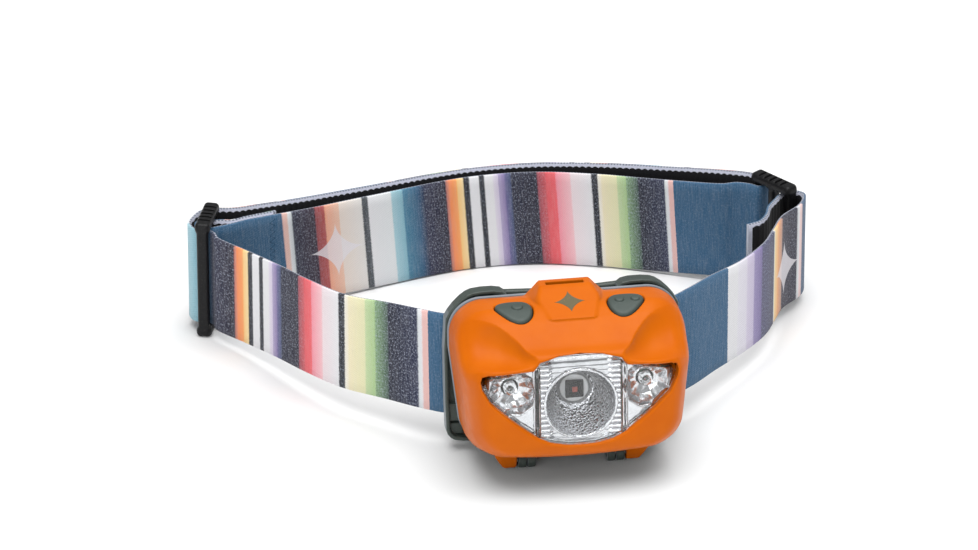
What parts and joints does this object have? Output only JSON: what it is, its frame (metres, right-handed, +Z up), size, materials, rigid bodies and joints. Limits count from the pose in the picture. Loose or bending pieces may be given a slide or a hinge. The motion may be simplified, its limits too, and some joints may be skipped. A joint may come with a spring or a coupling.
{
  "type": "headlamp",
  "caption": "Compact headlamp with a tilting head, clear three-light lens and two push buttons on a patterned elastic headband.",
  "frame": {"origin": "middle of the whole object's plan, on the table that it stands on", "axes": "+Z up from the table; the lamp shines towards -Y; +X is to the right of someone who looks at its lens"},
  "size_m": [0.149, 0.1206, 0.0428],
  "materials": {
    "orange_shell": "satin",
    "dark_green_plastic": "matte",
    "grey_seal": "matte",
    "button_rubber": "matte",
    "clear_lens": "clear",
    "bright_reflector": "orange peel",
    "steel": "plain",
    "black_plastic": "satin",
    "green_board": "solder mask",
    "cell_sleeve": "plain",
    "led_die": "plain",
    "webbing": "striped weave"
  },
  "bodies": {
    "headband_and_bracket": {"bracket": "dark_green_plastic", "hinge_pin_left": "steel", "hinge_pin_right": "steel", "strap": "webbing", "slider_left": "black_plastic", "slider_right": "black_plastic"},
    "cover": {"rear_cover": "dark_green_plastic", "gasket": "grey_seal"},
    "lamp": {"front_housing": "orange_shell", "lens": "clear_lens", "main_reflector": "bright_reflector", "main_led": "black_plastic", "main_led_die": "led_die", "side_reflector_left": "bright_reflector", "side_reflector_right": "bright_reflector", "white_led": "clear_lens", "red_led": "clear_lens", "board_screw_left": "steel", "board_screw_right": "steel", "push_switch_left": "black_plastic", "push_switch_right": "black_plastic", "circuit_board": "green_board", "battery_tray": "black_plastic", "battery_lower": "cell_sleeve", "battery_middle": "cell_sleeve", "battery_upper": "cell_sleeve", "contact_spring_lower": "steel", "contact_spring_middle": "steel", "contact_spring_upper": "steel", "terminal_plate_left": "steel", "terminal_plate_right": "steel", "bridge_plate_left": "steel", "bridge_plate_right": "steel"},
    "left_key": {"button_left": "button_rubber", "switch_plunger_left": "black_plastic"},
    "right_key": {"button_right": "button_rubber", "switch_plunger_right": "black_plastic"}
  },
  "joints": [
    {"name": "lamp_tilt", "type": "hinge", "parent": "headband_and_bracket", "child": "cover", "pos_m": [0.005, -0.04378, 0.00189], "axis": [1, 0, 0], "range_deg": [0, 60]},
    {"name": "case_open", "type": "hinge", "parent": "cover", "child": "lamp", "pos_m": [0.005, -0.04378, 0.00189], "axis": [1, 0, 0], "range_deg": [0, 80]},
    {"name": "left_button_press", "type": "slide", "parent": "lamp", "child": "left_key", "axis": [0, -0.1045, -0.9945], "range_m": [0, 0.0006], "stiffness_N_per_m": 800},
    {"name": "right_button_press", "type": "slide", "parent": "lamp", "child": "right_key", "axis": [0, -0.1045, -0.9945], "range_m": [0, 0.0006], "stiffness_N_per_m": 800}
  ]
}
